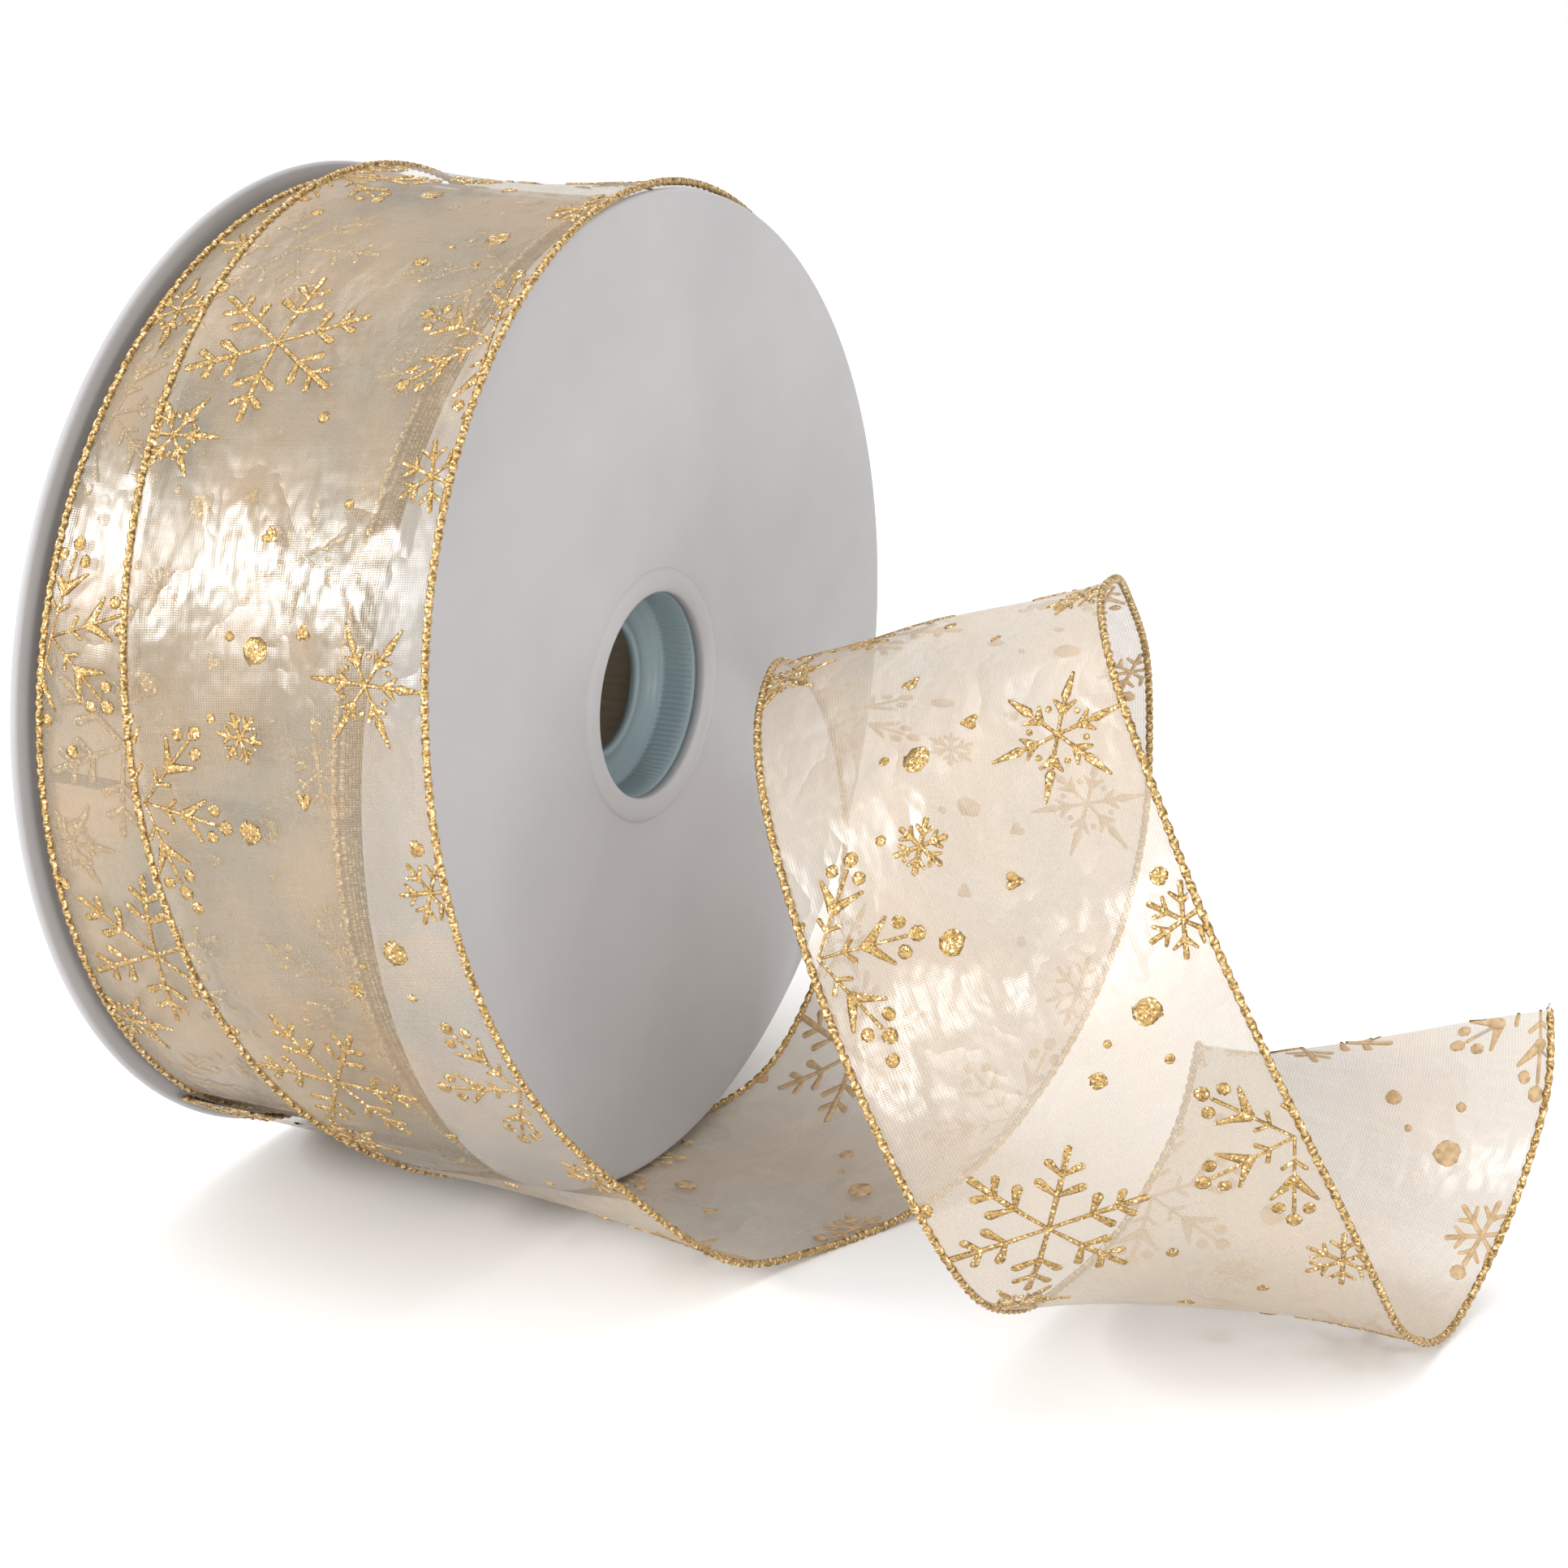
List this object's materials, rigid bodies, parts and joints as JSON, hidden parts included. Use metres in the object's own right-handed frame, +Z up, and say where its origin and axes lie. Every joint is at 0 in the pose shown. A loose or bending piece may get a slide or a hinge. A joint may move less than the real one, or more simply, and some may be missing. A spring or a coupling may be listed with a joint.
{
  "type": "ribbon spool",
  "caption": "Flanged plastic spool of wide sheer wired ribbon with gold edges and glitter snowflakes; the loose end loops beside it to a straight cut.",
  "frame": {"origin": "below the middle of the whole, on the plane it stands on", "axes": "+X along the spool's axis from the far flange to the near flange and on towards the loose end; +Z up; +Y completes the right-handed frame"},
  "size_m": [0.244, 0.191, 0.1915],
  "materials": {
    "flange_plastic": "smooth satin moulding",
    "hub_plastic": "satin, finely ribbed bore",
    "core_board": "plain wound paper board",
    "tape": "clear gloss tape",
    "organza": "sheer satin organza with gold glitter print",
    "gold_thread": "metallic overlock thread",
    "edge_wire": "soft drawn wire"
  },
  "bodies": {
    "free_ribbon": {"outer_turn": "organza", "loose_tail": "organza", "loose_far_edge_thread": "gold_thread", "loose_near_edge_thread": "gold_thread", "loose_far_edge_wire": "edge_wire", "loose_near_edge_wire": "edge_wire"},
    "spool": {"near_flange": "flange_plastic", "far_flange": "flange_plastic", "near_hub_socket": "hub_plastic", "far_hub_socket": "hub_plastic", "core_tube": "core_board", "start_tape": "tape", "wound_ribbon": "organza", "last_wound_turn": "organza", "last_turn_far_edge": "gold_thread", "last_turn_near_edge": "gold_thread"},
    "bent_end": {"ribbon_end": "organza", "end_far_edge_thread": "gold_thread", "end_near_edge_thread": "gold_thread", "end_far_edge_wire": "edge_wire", "end_near_edge_wire": "edge_wire"}
  },
  "joints": [
    {"name": "spool_turn", "type": "hinge", "parent": "free_ribbon", "child": "spool", "pos_m": [-0.08332, 0.00025, 0.0958], "axis": [1, 0, 0], "continuous": true},
    {"name": "end_bend", "type": "hinge", "parent": "free_ribbon", "child": "bent_end", "pos_m": [0.08305, -0.01081, 0.00513], "axis": [0.999, 0.008, -0.0434], "range_deg": [-10, 35]}
  ]
}
